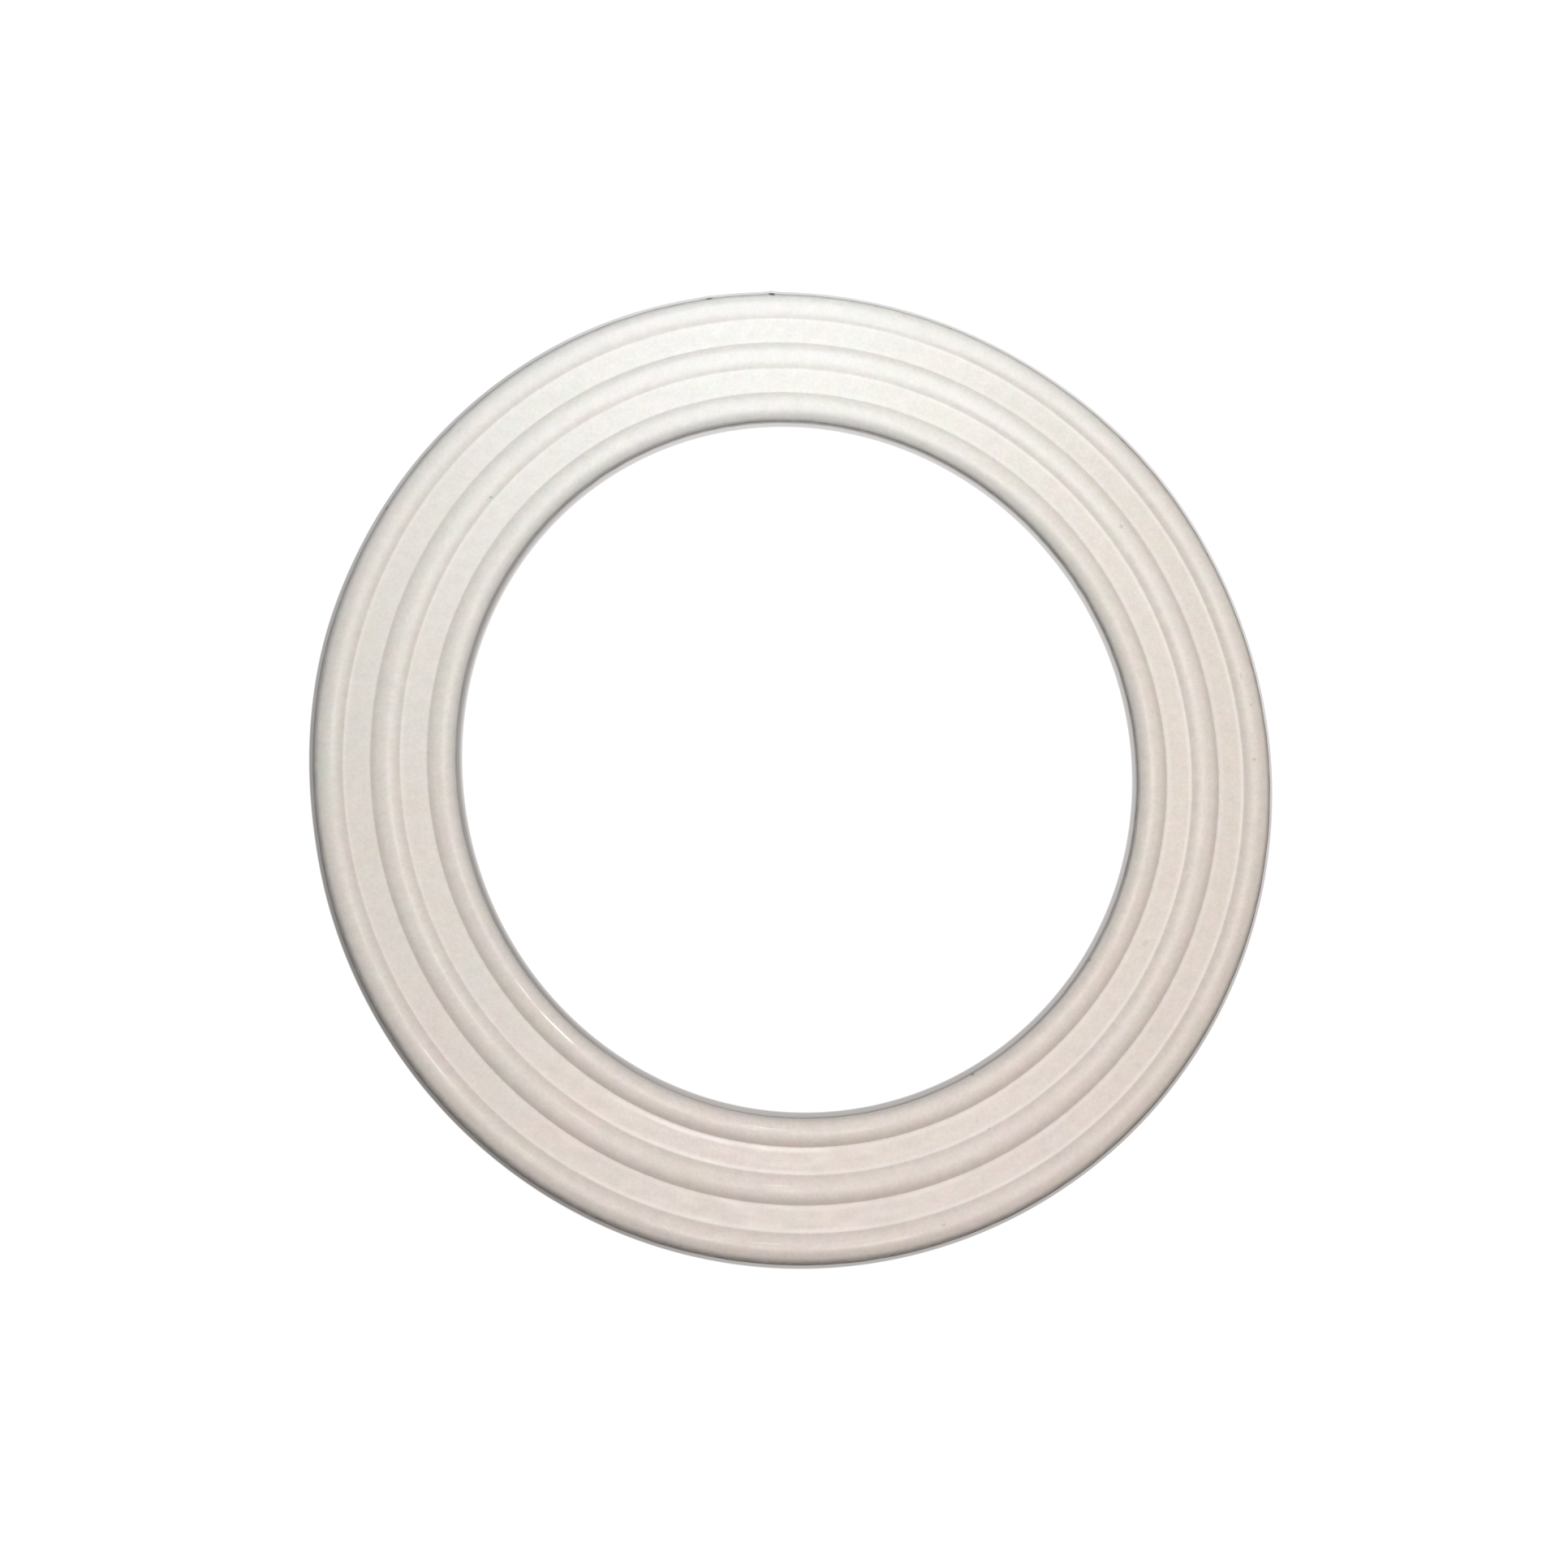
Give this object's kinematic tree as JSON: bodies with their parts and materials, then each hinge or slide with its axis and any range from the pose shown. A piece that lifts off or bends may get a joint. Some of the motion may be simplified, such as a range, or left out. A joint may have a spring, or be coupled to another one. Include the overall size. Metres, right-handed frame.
{
  "type": "ribbed seal ring",
  "caption": "Flat white rubber sealing ring with rounded concentric ribs and flat lands on both faces, stretched over a round collar to seal a lid.",
  "frame": {"origin": "on the ring's axis, at the height of the surface that it lies on", "axes": "+Z along the ring's axis, up through the hole; X and Y are any two directions across it"},
  "size_m": [0.095, 0.095, 0.0025],
  "materials": {
    "white_rubber": "satin"
  },
  "bodies": {
    "root": {"seal_ring": "white_rubber"}
  },
  "joints": []
}
